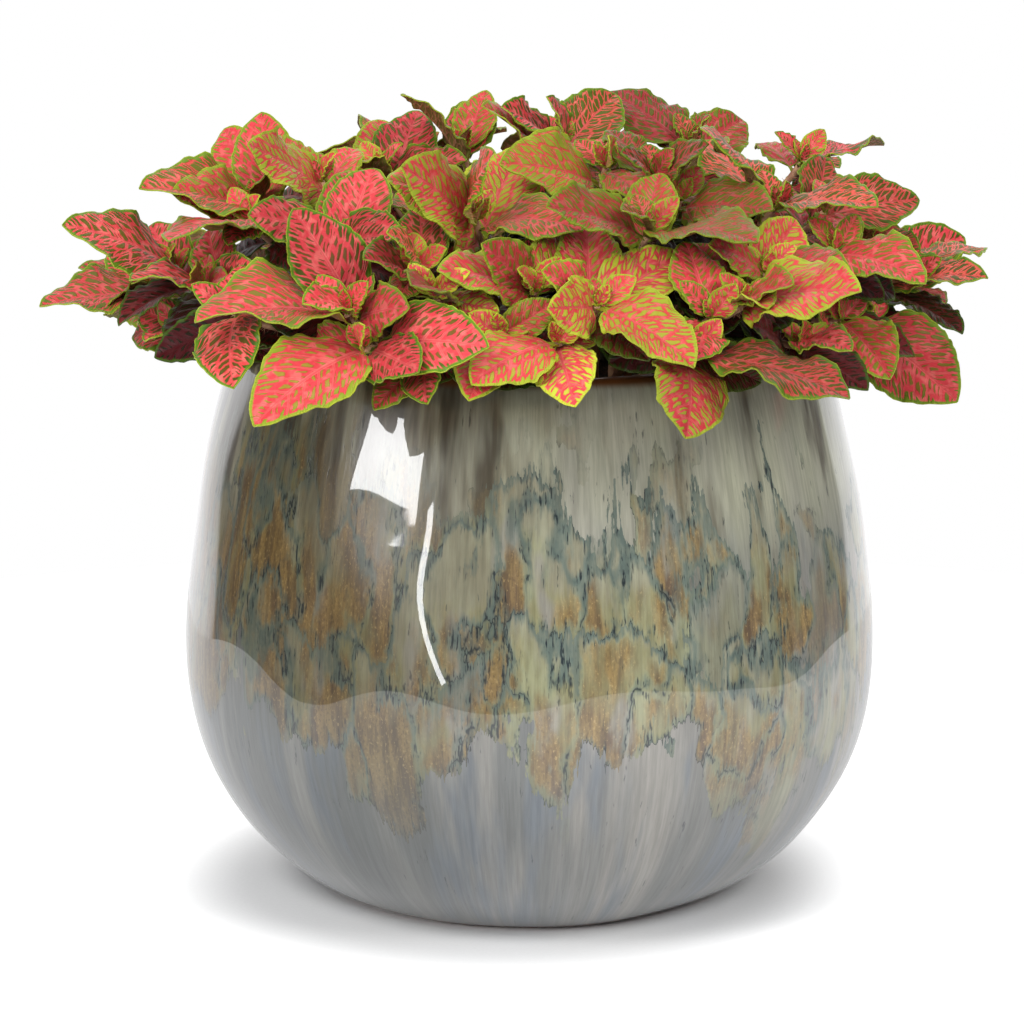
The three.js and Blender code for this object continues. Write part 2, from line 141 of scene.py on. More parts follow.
DIM_FRONT = (0.04, 0.04, 0.04, 1.0)
BRIGHT_WALL = (1.2, 1.2, 1.22, 1.0)
ROOM_LIGHT = (0.46, 0.46, 0.47, 1.0)
PLAIN_WHITE = (1.0, 1.0, 1.0, 1.0)
studio = bpy.data.worlds.new("studio")
studio.use_nodes = True
scene.world = studio
tree = studio.node_tree
way = axes_of(tree, add_node(tree, "TexCoord").outputs["Generated"])
backdrop = smooth_step(tree, way["Y"], 0.63, 0.68)
ceiling = smooth_step(tree, way["Z"], 0.88, 0.95)
mirrored_room = blend_colours(tree, maths(tree, "MAXIMUM", backdrop, ceiling), DIM_FRONT, BRIGHT_WALL)
rays = add_node(tree, "LightPath").outputs
room = blend_colours(tree, rays["Is Glossy Ray"], ROOM_LIGHT, mirrored_room)
room = blend_colours(tree, rays["Is Camera Ray"], room, PLAIN_WHITE)
sockets(tree.nodes["Background"], {"Color": room, "Strength": 1.0})


def soft_box(name, place, aim, width, height, power, mirrored=False, lean=0.0):
    """A flat lamp that faces a point, with its head to the left by the lean in degrees. Only a mirrored one
    shows in the glaze."""
    lamp = bpy.data.lights.new(name, "AREA")
    lamp.shape = "RECTANGLE"
    lamp.size = width
    lamp.size_y = height
    lamp.energy = power
    lamp_object = bpy.data.objects.new(name, lamp)
    lamp_object.location = place
    lamp_object.visible_glossy = mirrored
    facing = (Vector(place) - Vector(aim)).to_track_quat("Z", "Y")
    lamp_object.rotation_euler = (facing @ Quaternion((0.0, 0.0, 1.0), math.radians(lean))).to_euler()
    scene.collection.objects.link(lamp_object)


# Five soft boxes light the plant from all round.
PLANT_MIDDLE = (0.0, 0.0, 0.16)
soft_box("key", (-0.75, -0.85, 1.15), PLANT_MIDDLE, 0.5, 0.5, 10.5)
soft_box("fill", (1.0, -0.8, 0.95), PLANT_MIDDLE, 0.6, 0.6, 10.5)
soft_box("front", (0.0, -1.45, 0.85), PLANT_MIDDLE, 0.9, 0.5, 7.5)
soft_box("top", (0.0, 0.0, 1.4), PLANT_MIDDLE, 0.9, 0.9, 5.5)
soft_box("back", (0.25, 1.25, 1.0), PLANT_MIDDLE, 0.9, 0.6, 8.0)
# These two are what the glaze shows at the left: a wide soft box and the narrow edge of a panel.
POT_FACE = (0.0, -0.06, 0.09)
soft_box("window", (-0.95, -0.84, 0.445), POT_FACE, 0.46, 0.3, 5.5, True)
soft_box("panel_edge", (-0.625, -1.08, 0.11), POT_FACE, 0.035, 0.43, 0.6, True, 27.0)

PHOTO_SIZE = 1024
FOCAL_PIXELS = 3909
AXIS_OFFSET_PIXELS = 17.3  # how far right of the middle the pot's axis stands in the photo
CAMERA_HEIGHT = 0.291
CAMERA_DISTANCE = 1.0
CAMERA_PITCH = 10.97
lens = bpy.data.cameras.new("camera")
lens.sensor_width = 36.0
lens.lens = lens.sensor_width * FOCAL_PIXELS / PHOTO_SIZE
lens.shift_x = -AXIS_OFFSET_PIXELS / PHOTO_SIZE
camera = bpy.data.objects.new("camera", lens)
camera.location = (0.0, -CAMERA_DISTANCE, CAMERA_HEIGHT)
camera.rotation_euler = (math.radians(90 - CAMERA_PITCH), 0.0, 0.0)
scene.collection.objects.link(camera)
scene.camera = camera


# ------------------------------------------------------------------ pot
# One piece of fired stoneware: a full belly on a narrower foot, drawn in to a rounded lip. It is thrown
# or cast, so its wall waves slightly, and it is glazed all over but for the thin bare edge of the foot.
MM = 0.001  # sizes are in millimetres from here on
lowest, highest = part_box("pot")
POT_HEIGHT = highest.z / MM
BELLY_RADIUS = (highest.x - lowest.x) / 2 / MM
BELLY_HEIGHT = 64.0
RIM_RADIUS = 76.0
FOOT_RADIUS = 50.0
POT_WALL = 6.0
POT_FLOOR = 8.0
SHOULDER_CURVE = 1.8
FOOT_CURVE = 2.2
FOOT_FULLNESS = 0.75
LIP = POT_WALL / 2
POT_SIDES = 160
WALL_RINGS = 44
FOOT_CROWDING = 1.5  # the rings of the wall stand closer together at the foot
LIP_RINGS = 8
INNER_RINGS = WALL_RINGS // 2


def pot_radius(z):
    """The outside of the pot: a full curve up to the belly, then drawn in gently to the rim."""
    if z > BELLY_HEIGHT:
        rise = (z - BELLY_HEIGHT) / (POT_HEIGHT - BELLY_HEIGHT)
        return BELLY_RADIUS - (BELLY_RADIUS - RIM_RADIUS) * rise**SHOULDER_CURVE
    drop = 1 - z / BELLY_HEIGHT
    return FOOT_RADIUS + (BELLY_RADIUS - FOOT_RADIUS) * (1 - drop**FOOT_CURVE) ** FOOT_FULLNESS


def lay_floor(name, sides, radius, height):
    """A flat round floor and its open brim, from which a wall can be drawn up."""
    bpy.ops.object.select_all(action="DESELECT")
    bpy.ops.mesh.primitive_circle_add(vertices=sides, radius=radius * MM, fill_type="NGON")
    body = bpy.context.object
    body.name = name
    body.data.transform(Matrix.Translation((0, 0, height * MM)))
    bpy.ops.object.mode_set(mode="EDIT")
    bpy.ops.mesh.select_all(action="SELECT")
    return body, (radius * MM, height * MM)


def throw_ring(brim, radius, height):
    """Draws a wall's open brim on to a new radius and height, as a potter's hand does. Gives the new one."""
    new_brim = (radius * MM, height * MM)
    bpy.ops.mesh.extrude_region_move(TRANSFORM_OT_translate={"value": (0, 0, new_brim[1] - brim[1])})
    share = new_brim[0] / brim[0]
    bpy.ops.transform.resize(value=(share, share, 1), center_override=(0, 0, 0))
    return new_brim


def close_wall():
    """Turns all faces outwards and leaves edit mode."""
    bpy.ops.mesh.select_all(action="SELECT")
    bpy.ops.mesh.normals_make_consistent(inside=False)
    bpy.ops.object.mode_set(mode="OBJECT")


def roughen(body, name, width, layers, strength):
    """A modifier that pushes a surface out and in by cloudy noise."""
    clouds = bpy.data.textures.new(name, "CLOUDS")
    clouds.noise_scale = width * MM
    clouds.noise_depth = layers
    push = body.modifiers.new(name, "DISPLACE")
    push.texture = clouds
    push.texture_coords = "LOCAL"
    push.strength = strength * MM
    return push


pot, brim = lay_floor("glazed_pot", POT_SIDES, FOOT_RADIUS, 0.0)
for ring in range(1, WALL_RINGS + 1):
    height = (POT_HEIGHT - LIP) * (ring / WALL_RINGS) ** FOOT_CROWDING
    brim = throw_ring(brim, pot_radius(height), height)
for ring in range(1, LIP_RINGS + 1):
    turn = math.pi * ring / LIP_RINGS
    brim = throw_ring(brim, RIM_RADIUS - LIP + LIP * math.cos(turn), POT_HEIGHT - LIP + LIP * math.sin(turn))
for ring in range(INNER_RINGS - 1, -1, -1):
    height = POT_FLOOR + (POT_HEIGHT - LIP - POT_FLOOR) * ring / INNER_RINGS
    brim = throw_ring(brim, pot_radius(height) - POT_WALL, height)
close_wall()

WALL_WAVE = 1.3
WAVE_WIDTH = 30.0
roughen(pot, "waves", WAVE_WIDTH, 0, WALL_WAVE)
bpy.ops.object.modifier_apply(modifier="waves")
for vertex in pot.data.vertices:
    vertex.co.z = min(max(vertex.co.z, 0.0), POT_HEIGHT * MM)
bpy.ops.object.shade_smooth_by_angle(angle=math.radians(50))

# The glaze is fired in two coats. The under coat is a smooth grey-blue with fine runs. The upper coat has
# slid down it in fingers, sage green with honey-brown hearts, each with a blue halo and a dark torn edge.
glaze, tree, shader = finish_surface("reactive_glaze", 0.3)
sockets(shader, {"Coat Weight": 1.0, "Coat Roughness": 0.02, "Coat IOR": 1.6})
place = add_node(tree, "TexCoord").outputs["Object"]
outward = vector_maths(tree, "MULTIPLY", place, (1, 1, 0))[0]
outward = vector_maths(tree, "NORMALIZE", outward)[0]
height_mm = product(tree, axes_of(tree, place)["Z"], 1 / MM)


def noise(tree, place, scale, detail, roughness=0.5):
    """Cloudy noise: first its value, then its colour."""
    values = {"Vector": place, "Scale": scale, "Detail": detail, "Roughness": roughness}
    return add_node(tree, "TexNoise", None, values).outputs


def on_wall(tall):
    """The place on the wall in millimetres, carried on to a belly-wide cylinder and squeezed in height."""
    round_wall = vector_maths(tree, "MULTIPLY", outward, (BELLY_RADIUS,) * 3)[0]
    up = add_node(tree, "CombineXYZ", None, {"Z": maths(tree, "DIVIDE", height_mm, tall)}).outputs[0]
    return vector_maths(tree, "ADD", round_wall, up)[0]


def runs(width, tall, detail=3.0, roughness=0.55):
    """Noise of a width in millimetres, drawn out in height by a factor."""
    return noise(tree, on_wall(tall), 1.0 / width, detail, roughness)


def wander(vector, push, reach):
    """Pushes a place about by a noise's colour."""
    push = vector_maths(tree, "SUBTRACT", push["Color"], (0.5, 0.5, 0.5))[0]
    push = vector_maths(tree, "MULTIPLY", push, reach)[0]
    return vector_maths(tree, "ADD", vector, push)[0]


def channels(colour):
    """A colour's red, green and blue."""
    return add_node(tree, "SeparateColor", None, {0: colour}).outputs


def facing(way):
    """How much the wall looks a level way, from -1 to 1."""
    return vector_maths(tree, "DOT_PRODUCT", outward, way)[1]


# The fingers are cells, looked up at a place that wanders widely, then finely, then in upright hairs.
FINGER_WIDTH = 15.0
FINGER_STRETCH = 2.0
torn = wander(on_wall(FINGER_STRETCH), runs(17.0, 1.8, 1.0, 0.5), (34.0, 34.0, 26.0))
torn = wander(torn, runs(5.0, 2.2, 3.0, 0.6), (9.0, 9.0, 7.0))
torn = wander(torn, runs(0.9, 9.0, 3.0, 0.6), (0.6, 0.6, 7.0))
cell = {"Vector": torn, "Scale": 1.0 / FINGER_WIDTH, "Randomness": 1.0}
finger = add_node(tree, "TexVoronoi", {"feature": "F1"}, cell).outputs
edge = add_node(tree, "TexVoronoi", {"feature": "DISTANCE_TO_EDGE"}, cell).outputs["Distance"]
edge_mm = product(tree, edge, FINGER_WIDTH)
heart = axes_of(tree, finger["Position"])["Z"]
heart_mm = product(tree, heart, FINGER_STRETCH)
luck = channels(finger["Color"])
fall = maths(tree, "DIVIDE", maths(tree, "SUBTRACT", heart, axes_of(tree, torn)["Z"]), FINGER_WIDTH)

STONE_GREY = paint(120, 122, 120)
SLATE_BLUE = paint(116, 124, 132)
PALE_LILAC = paint(160, 157, 150)
PALE_SAGE = paint(196, 198, 164)
MOSS = paint(144, 140, 100)
SAGE = paint(167, 169, 132)
HONEY = paint(158, 126, 70)
UMBER = paint(98, 68, 38)
GOLD = paint(190, 160, 104)
# Dark brown of the smoky runs, also used as painted shade at the left.
SMOKE_AND_SHADE = paint(74, 62, 46)
TEAL = paint(94, 114, 110)
NAVY = paint(26, 36, 48)
LIP_BROWN = paint(104, 60, 26)
BARE_CLAY = paint(128, 96, 84)
STREAK_DARK = paint(98, 98, 98)
STREAK_LIGHT = paint(160, 160, 160)
# Painted shade for the wall's left front: greyer below the belly, browner above it.
PAINTED_SHADE_LOW = (0.42, 0.45, 0.46, 1.0)
PAINTED_SHADE_HIGH = (0.38, 0.34, 0.26, 1.0)
LEFT = (-0.78, -0.62, 0.0)
RIGHT = (0.72, -0.69, 0.0)

# The under coat, paler near the rim and streaked there with smoky runs, which are real glaze but at the left
# are denser as painted shade.
wide_runs = runs(16.0, 7.0, 2.0)[0]
blue_runs = channels(runs(11.0, 5.0)["Color"])[1]
fine_runs = runs(1.1, 16.0, 3.0, 0.7)[0]
under = blend_colours(tree, smooth_step(tree, wide_runs, 0.4, 0.66), STONE_GREY, PALE_LILAC)
under = blend_colours(tree, smooth_step(tree, blue_runs, 0.48, 0.68), under, SLATE_BLUE)
high = smooth_step(tree, height_mm, 84.0, 118.0)
under = blend_colours(tree, high, under, blend_colours(tree, wide_runs, PALE_SAGE, PALE_LILAC))
# The wall that faces left and front: its glaze is a little richer there, and it carries painted shade.
left_glaze_and_shade = smooth_step(tree, facing(LEFT), 0.5, 0.96)
# Smoky runs near the rim; their extra share at the left front is painted shade.
smoke_and_shade = maths(tree, "ADD", runs(8.0, 6.0)[0], product(tree, left_glaze_and_shade, 0.2))
smoke_and_shade = product(tree, high, smooth_step(tree, smoke_and_shade, 0.52, 0.74))
under = blend_colours(tree, product(tree, smoke_and_shade, 0.85), under, SMOKE_AND_SHADE)

# Where the upper coat lies: between two ragged heights, the upper one lower at the right, and thin at its
# head and foot.
cover_low = smooth_step(tree, maths(tree, "ADD", heart_mm, product(tree, luck[1], 18.0)), 52.0, 60.0)
calm = smooth_step(tree, facing(RIGHT), 0.74, 0.97)
cover_high = maths(tree, "ADD", heart_mm, product(tree, luck[2], 46.0), product(tree, calm, 34.0))
cover_high = smooth_step(tree, cover_high, 172.0, 140.0)
fading = product(tree, smooth_step(tree, heart_mm, 92.0, 120.0), smooth_step(tree, fall, 0.2, -0.3))
melted = product(tree, smooth_step(tree, height_mm, 58.0, 30.0), 0.5)
cover = product(tree, cover_low, cover_high, maths(tree, "SUBTRACT", 1.0, fading))
cover = product(tree, cover, maths(tree, "SUBTRACT", 1.0, melted))

# What it looks like: mossy to sage, with lilac clouds, and honey where it is rich.
patches = runs(7.0, 2.6, 4.0, 0.6)[0]
soft_patches = runs(10.0, 2.8, 2.0, 0.5)[0]
blotches = channels(runs(9.0, 2.6, 2.0, 0.5)["Color"])[2]
finger_coat = blend_colours(tree, smooth_step(tree, patches, 0.36, 0.62), MOSS, SAGE)
lilac_share = product(tree, smooth_step(tree, soft_patches, 0.52, 0.66), 0.8)
lilac_foot = product(tree, smooth_step(tree, fall, 0.0, -0.4), 0.4)
finger_coat = blend_colours(tree, maths(tree, "MAXIMUM", lilac_share, lilac_foot), finger_coat, PALE_LILAC)
at_edge = smooth_step(tree, edge_mm, 2.4, 0.2)
RICHNESS = [(luck[0], 0.12), (left_glaze_and_shade, 0.08), (fall, 0.22), (patches, 0.6), (blotches, 0.7), (at_edge, -0.14)]
richness = maths(tree, "ADD", *(product(tree, part, weight) for part, weight in RICHNESS))
specks = runs(0.55, 1.8, 2.0)[0]
dark_specks = product(tree, smooth_step(tree, specks, 0.46, 0.34), 0.6)
gold_specks = product(tree, smooth_step(tree, specks, 0.58, 0.7), 0.8)
honey = blend_colours(tree, smooth_step(tree, runs(2.2, 6.0, 3.0, 0.6)[0], 0.62, 0.34), HONEY, UMBER)
honey = blend_colours(tree, dark_specks, honey, UMBER)
honey = blend_colours(tree, gold_specks, honey, GOLD)
honey_share = product(tree, smooth_step(tree, richness, 0.6, 0.82), 0.85)
finger_coat = blend_colours(tree, honey_share, finger_coat, honey)
coat = blend_colours(tree, product(tree, cover, 0.94), under, finger_coat)

# Round each finger: a wide blue halo below it, a thin one all round, broken dark lines and clusters of hairs.
low_edge = smooth_step(tree, fall, -0.1, 0.14)
blue_reach = maths(tree, "ADD", product(tree, soft_patches, 8.0), -1.4)
halo = smooth_step(tree, edge_mm, blue_reach, 0.2)
halo = product(tree, halo, maths(tree, "SUBTRACT", 1.0, low_edge), cover)
coat = blend_colours(tree, product(tree, halo, 0.6), coat, TEAL)
ragged = smooth_step(tree, runs(4.0, 1.6, 3.0, 0.6)[0], 0.42, 0.54)
thin_halo = product(tree, smooth_step(tree, edge_mm, 1.9, 0.2), cover)
thin_halo = product(tree, thin_halo, maths(tree, "ADD", product(tree, ragged, 0.6), 0.4))
coat = blend_colours(tree, product(tree, thin_halo, 0.6), coat, TEAL)
ragged_cover = product(tree, ragged, cover)
line = product(tree, smooth_step(tree, edge_mm, 0.5, 0.08), ragged_cover)
line = product(tree, line, maths(tree, "ADD", product(tree, low_edge, 0.85), 0.15))
hairs = smooth_step(tree, runs(0.55, 8.0, 2.0, 0.6)[0], 0.55, 0.62)
hairs = product(tree, hairs, smooth_step(tree, edge_mm, 2.8, 0.8), ragged_cover)
flecks = product(tree, smooth_step(tree, runs(1.3, 5.5, 3.0, 0.6)[0], 0.66, 0.72), 0.7)
dark = maths(tree, "MAXIMUM", line, hairs, flecks)
coat = blend_colours(tree, product(tree, dark, 0.88), coat, NAVY)
streaks = blend_colours(tree, smooth_step(tree, fine_runs, 0.25, 0.75), STREAK_DARK, STREAK_LIGHT)
coat = blend_colours(tree, 0.55, coat, streaks, "OVERLAY")
# Painted shade: the left front of the wall is darkened, greyer low down and browner high up.
painted_left_shade = blend_colours(tree, smooth_step(tree, height_mm, 50.0, 76.0), PAINTED_SHADE_LOW, PAINTED_SHADE_HIGH)
coat = blend_colours(tree, product(tree, left_glaze_and_shade, 0.8), coat, painted_left_shade, "MULTIPLY")

coat = blend_colours(tree, smooth_step(tree, height_mm, POT_HEIGHT - 2.8, POT_HEIGHT - 1.0), coat, LIP_BROWN)
coat = blend_colours(tree, smooth_step(tree, height_mm, 1.6, 0.6), coat, BARE_CLAY)
RELIEF = [(dark, -0.3), (fine_runs, 0.25), (patches, 1.6)]
relief = maths(tree, "ADD", *(product(tree, part, weight) for part, weight in RELIEF))
bump = add_node(tree, "Bump", None, {"Height": relief, "Strength": 0.25, "Distance": 0.4 * MM})
sockets(shader, {"Base Color": coat, "Normal": bump.outputs[0]})
pot.data.materials.append(glaze)
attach(pot, "root")
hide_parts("pot")


# ------------------------------------------------------------------ soil
# Dark crumbly potting soil fills the pot to a finger's breadth below the lip, a little higher in the
# middle. It is one body with a loose, lumpy top, and the stems stand in it.
SOIL_LEVEL = 126.0
SOIL_CROWN = 3.0
GAP = 0.3
SOIL_SIDES = 96
SIDE_RINGS = 10
TOP_RINGS = 34
CRUMB_WIDTH = 4.0
CRUMB_HEIGHT = 3.0
CRUMBS_START = SOIL_LEVEL + 0.2


def soil_level(reach):
    """The height of the soil at a distance from the middle."""
    return SOIL_LEVEL + SOIL_CROWN * (1 - (reach / RIM_RADIUS) ** 2)


soil_foot = pot_radius(POT_FLOOR) - POT_WALL - GAP
soil, brim = lay_floor("potting_soil", SOIL_SIDES, soil_foot, POT_FLOOR + GAP)
for ring in range(1, SIDE_RINGS + 1):
    height = POT_FLOOR + (SOIL_LEVEL - POT_FLOOR) * ring / SIDE_RINGS
    brim = throw_ring(brim, pot_radius(height) - POT_WALL - GAP, height)
top_radius = brim[0] / MM
for ring in range(1, TOP_RINGS):
    reach = top_radius * (1 - ring / TOP_RINGS)
    brim = throw_ring(brim, reach, soil_level(reach))
close_wall()

top_only = soil.vertex_groups.new(name="top")
top_only.add([v.index for v in soil.data.vertices if v.co.z > CRUMBS_START * MM], 1.0, "REPLACE")
crumbling = roughen(soil, "crumbs", CRUMB_WIDTH, 3, CRUMB_HEIGHT)
crumbling.direction = "Z"
crumbling.vertex_group = "top"
bpy.ops.object.modifier_apply(modifier="crumbs")
bpy.ops.object.shade_smooth_by_angle(angle=math.radians(40))

earth, tree, shader = finish_surface("potting_soil", 0.95)
place = add_node(tree, "TexCoord").outputs["Object"]
lumps = noise(tree, place, 420.0, 6.0, 0.7)[0]
fibres = noise(tree, place, 1500.0, 3.0)[0]
brown = blend_colours(tree, smooth_step(tree, lumps, 0.35, 0.7), paint(20, 14, 10), paint(66, 48, 34))
brown = blend_colours(tree, smooth_step(tree, fibres, 0.66, 0.74), brown, paint(120, 92, 62))
rough_top = add_node(tree, "Bump", None, {"Height": lumps, "Strength": 0.9, "Distance": 2.0 * MM})
sockets(shader, {"Base Color": brown, "Normal": rough_top.outputs[0]})
soil.data.materials.append(earth)
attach(soil, "root")
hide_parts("soil")


# ------------------------------------------------------------------ leafy stems: how each one grows
# Each stem rises out of the soil, bows out over the rim and ends in a crown of crosswise leaf pairs. These
# rows hold a stem's crown in millimetres, then its leaves from the lowest to the youngest: the heading and
# rise in degrees and the distance of each tip from the crown, then any turn about the leaf's own length.
STEMS = {
    "left": [
        ((-68, -20, 180), [[-150, 10, 34], [115, 35, 30], [-145, 10, 26], [90, 45, 26], [-80, 35, 14]]),
        ((-69, -35, 177), [[-150, 5, 34], [-110, -15, 15], [-50, 0, 20]]),
        ((-89, -25, 163), [[-150, 25, 34], [115, 30, 21], [-110, -5, 14]]),
        ((-80, -45, 162), [[90, 35, 22], [-140, 10, 23], [-45, 20, 21], [-60, 20, 14]]),
        ((-97, -10, 157), [[-155, -5, 30], [125, 25, 22], [-120, -5, 18], [-110, -10, 15]]),
        ((-86, -30, 149), [[135, 0, 21], [-120, 0, 18], [135, 5, 18]]),
    ],
    "front_left": [
        ((-48, -55, 174), [[80, 35, 28], [65, 30, 28], [-45, 10, 26], [-140, 20, 27]]),
        ((-43, -84, 161), [[-160, 0, 38, 25], [140, 40, 30], [-45, 10, 22], [-125, 15, 18], [85, 30, 20]]),
        ((-39, -92, 154), [[-30, 5, 35], [-140, -25, 36], [-55, -20, 24], [135, 5, 24]]),
        ((-71, -77, 161), [[-85, -30, 30], [85, 30, 18]]),
        ((-25, -92, 151), [[-85, -25, 18], [-140, -20, 18]]),
    ],
    "top_left": [
        ((-52, -25, 186), [[-135, 25, 27], [65, 20, 20], [130, 10, 22]]),
        ((-38, 5, 185), [[95, 35, 22], [60, 25, 24], [-120, 10, 19], [-45, 10, 24]]),
        ((-13, -50, 179), [[-130, 30, 32], [65, 30, 32], [-145, 25, 29], [-35, 0, 32, -20], [-75, 45, 27]]),
        ((-27, -72, 170), [[80, 35, 24], [-105, -20, 16], [-115, 35, 19]]),
        ((-26, -30, 177), [[75, 20, 18], [-125, 20, 21]]),
    ],
    "top": [
        ((-17, 15, 189), [[-140, 15, 27], [80, 35, 22], [65, 25, 21]]),
        ((8, -5, 193), [[-140, 25, 29], [-105, 45, 20], [55, 25, 28], [-145, 5, 24]]),
        ((19, -30, 190), [[-150, 5, 31], [130, 10, 24], [-60, -20, 20]]),
    ],
    "top_right": [
        ((29, -62, 178), [[80, 35, 22], [-40, 0, 33, -30], [-145, 15, 32], [-120, 25, 16]]),
        ((31, -35, 188), [[-60, 30, 20], [95, 40, 24], [-125, 20, 19]]),
        ((42, 10, 191), [[-60, 10, 18], [115, 25, 21], [50, 15, 23], [145, 20, 30]]),
        ((37, -40, 183), [[-40, 0, 29], [65, 5, 14]]),
    ],
    "front": [
        ((16, -84, 163), [[95, 35, 32], [55, 20, 29], [-140, 30, 20], [-150, 5, 22], [-40, -22, 32]]),
        ((1, -75, 165), [[125, 20, 24], [-145, 15, 29], [65, 30, 24]]),
        ((7, -90, 155), [[-80, -30, 24], [55, 0, 17], [-140, -15, 28]]),
        ((-22, -84, 165), [[-20, 5, 24], [115, 15, 16]]),
        ((-7, -88, 156), [[-110, -30, 24], [150, 0, 20], [-30, 10, 16]]),
    ],
    "front_right": [
        ((38, -90, 152), [[-95, -35, 28], [120, 25, 22], [-18, -12, 40, -50]]),
        ((51, -80, 163), [[115, 25, 28], [-35, 10, 33, -25], [-75, -20, 18], [-55, 20, 20]]),
        ((43, -84, 160), [[-105, -25, 18], [110, 30, 24]]),
        ((57, -65, 168), [[65, 30, 23], [-45, 5, 27], [-140, 25, 21]]),
    ],
    "right": [
        ((61, -30, 180), [[-145, 25, 35], [125, 20, 33], [-40, 5, 32]]),
        ((74, -22, 178), [[85, 35, 22], [20, 5, 27, -15], [-70, -20, 20]]),
        ((71, 20, 186), [[30, 8, 27, -45], [115, 5, 19], [-60, -5, 18]]),
        ((87, -5, 170), [[-95, 45, 20], [-70, -10, 17], [-120, 10, 15]]),
        ((75, -45, 171), [[-45, -10, 30], [120, 5, 19]]),
        ((96, -10, 159), [[-20, 5, 22, -15], [-90, 35, 19], [40, 25, 30, -60], [100, 25, 20]]),
    ],
    "low_right": [
        ((77, -45, 154), [[80, 35, 24], [-120, 20, 16], [50, -15, 18], [-65, -25, 27, 30]]),
        ((86, -20, 150), [[-50, -28, 36, 45], [75, 10, 16]]),
        ((65, -70, 151), [[-55, 5, 20], [40, -15, 22]]),
    ],
}
BACK_ARCS = [(94, 153, 10, 170, 8), (70, 169, 35, 145, 5), (52, 184, 70, 120, 2)]
LEAF_PAIRS = [((70, -70), -3, 33), ((0, 180), 12, 31)]
SEED_FACTOR = 16807
SEED_LIMIT = 2147483647

seed = 20611


def between(low, high):
    """A seeded draw between two values, so that the plant is the same each time."""
    global seed
    seed = seed * SEED_FACTOR % SEED_LIMIT
    return low + (high - low) * seed / SEED_LIMIT


# The back of the plant is grown by rule: crowns on three arcs round the dome, each with two leaf pairs.
STEMS["back"] = []
for reach, height, start, end, crowns in BACK_ARCS:
    for number in range(crowns):
        heading = start + (end - start) * number / (crowns - 1) + between(-4, 4)
        out = reach + between(-5, 5)
        leaves = []
        for turns, rise, length in LEAF_PAIRS:
            for turn in turns:
                leaf_heading = heading + turn + between(-15, 15)
                leaf_rise = rise + between(-10, 10)
                leaves.append([leaf_heading, leaf_rise, length + between(-4, 2)])
        x = out * math.cos(math.radians(heading))
        y = out * math.sin(math.radians(heading))
        STEMS["back"].append(((x, y, height + between(-4, 4)), leaves))

RIM_CLEARANCE = 8.0
UPRIGHT_SHARE = 0.6
OUTWARD_SHARE = 0.72
DROP_SHARE = 0.25
LEAF_START = 0.8
LEAF_SPACING = 2.2
LEAFY_FROM = 0.7
LEAFY_SHARE = 0.8
LEAN_MIDDLE = 0.15
LEAN_REACH = 0.7
LEAN_RADIUS = 100.0
LEAN_LOW = 0.025
LOW_CROWN = 170.0
LEAN_TO_LIGHT = 0.65
BACK_STARTS = 25.0


def leaf_habit():
    """A leaf's own habit: how broad it is, how it bends, folds, curls, twists and waves."""
    habit = {"breadth": between(0.56, 0.68), "bend": between(0.35, 0.95), "fold": between(0.08, 0.3)}
    habit |= {"curl": between(0, 0.22), "twist": between(-0.35, 0.35), "wave": between(0.1, 0.2)}
    habit["phase"] = between(-2.3, -1.3) + (math.pi if between(0, 1) < 0.5 else 0)
    habit["roll"] = between(-14, 14)
    return habit


def bow(points, share):
    """A point of a cubic curve through its four handles."""
    a, b, c, d = points
    rest = 1 - share
    return a * rest**3 + b * (3 * rest**2 * share) + c * (3 * rest * share**2) + d * share**3


def stem_curve(root, crown):
    """The handles of the curve from the soil, upright and then outwards over the rim, to the crown."""
    rise = crown.z - root.z
    over_rim = POT_HEIGHT + RIM_CLEARANCE
    upright = Vector((root.x, root.y, max(root.z + UPRIGHT_SHARE * rise, over_rim)))
    inside = root.lerp(crown, OUTWARD_SHARE)
    inside.z = max(crown.z - DROP_SHARE * rise, over_rim)
    return root, upright, inside, crown


def lean_of(crown):
    """The way a crown's leaves face: up, outwards, and to the nearer of front and back."""
    reach = math.hypot(crown.x, crown.y)
    lean = LEAN_MIDDLE + LEAN_REACH * (reach / LEAN_RADIUS) ** 2 + LEAN_LOW * max(0, LOW_CROWN - crown.z)
    to_light = -LEAN_TO_LIGHT if crown.y < BACK_STARTS else LEAN_TO_LIGHT
    return Vector((crown.x / reach * lean, crown.y / reach * lean + to_light, 1)).normalized()


def turned_up(plant, along):
    """The way a leaf's upper side looks when it runs a given way."""
    return (plant["lean"] - along * plant["lean"].dot(along)).normalized()


def place_leaf(plant, index, easing):
    """A leaf's frame: along runs from its root to its tip, and face is the way its upper side looks."""
    heading, rise, distance, *own_roll = plant["leaves"][index]
    habit = plant["habits"][index]
    longer, turned, raised, rolled = easing
    turn = math.radians(heading + turned)
    climb = math.radians(rise + raised)
    reach = distance * longer
    flat = math.cos(climb) * reach
    crown = plant["crown"]
    tip = crown + Vector((flat * math.cos(turn), flat * math.sin(turn), math.sin(climb) * reach))
    below = bow(plant["curve"], LEAFY_FROM)
    down = LEAF_START + LEAF_SPACING * (len(plant["leaves"]) - 1 - index)
    root = crown.lerp(below, min(LEAFY_SHARE, down / (crown - below).length))
    along = tip - root
    length = along.length
    along.normalize()
    roll = math.radians(sum(own_roll) + habit["roll"] + rolled)
    face = Matrix.Rotation(roll, 3, along) @ turned_up(plant, along)
    placed = {"root": root, "along": along, "face": face, "side": along.cross(face), "length": length}
    return {**habit, **placed, "half_width": length * habit["breadth"] / 2}


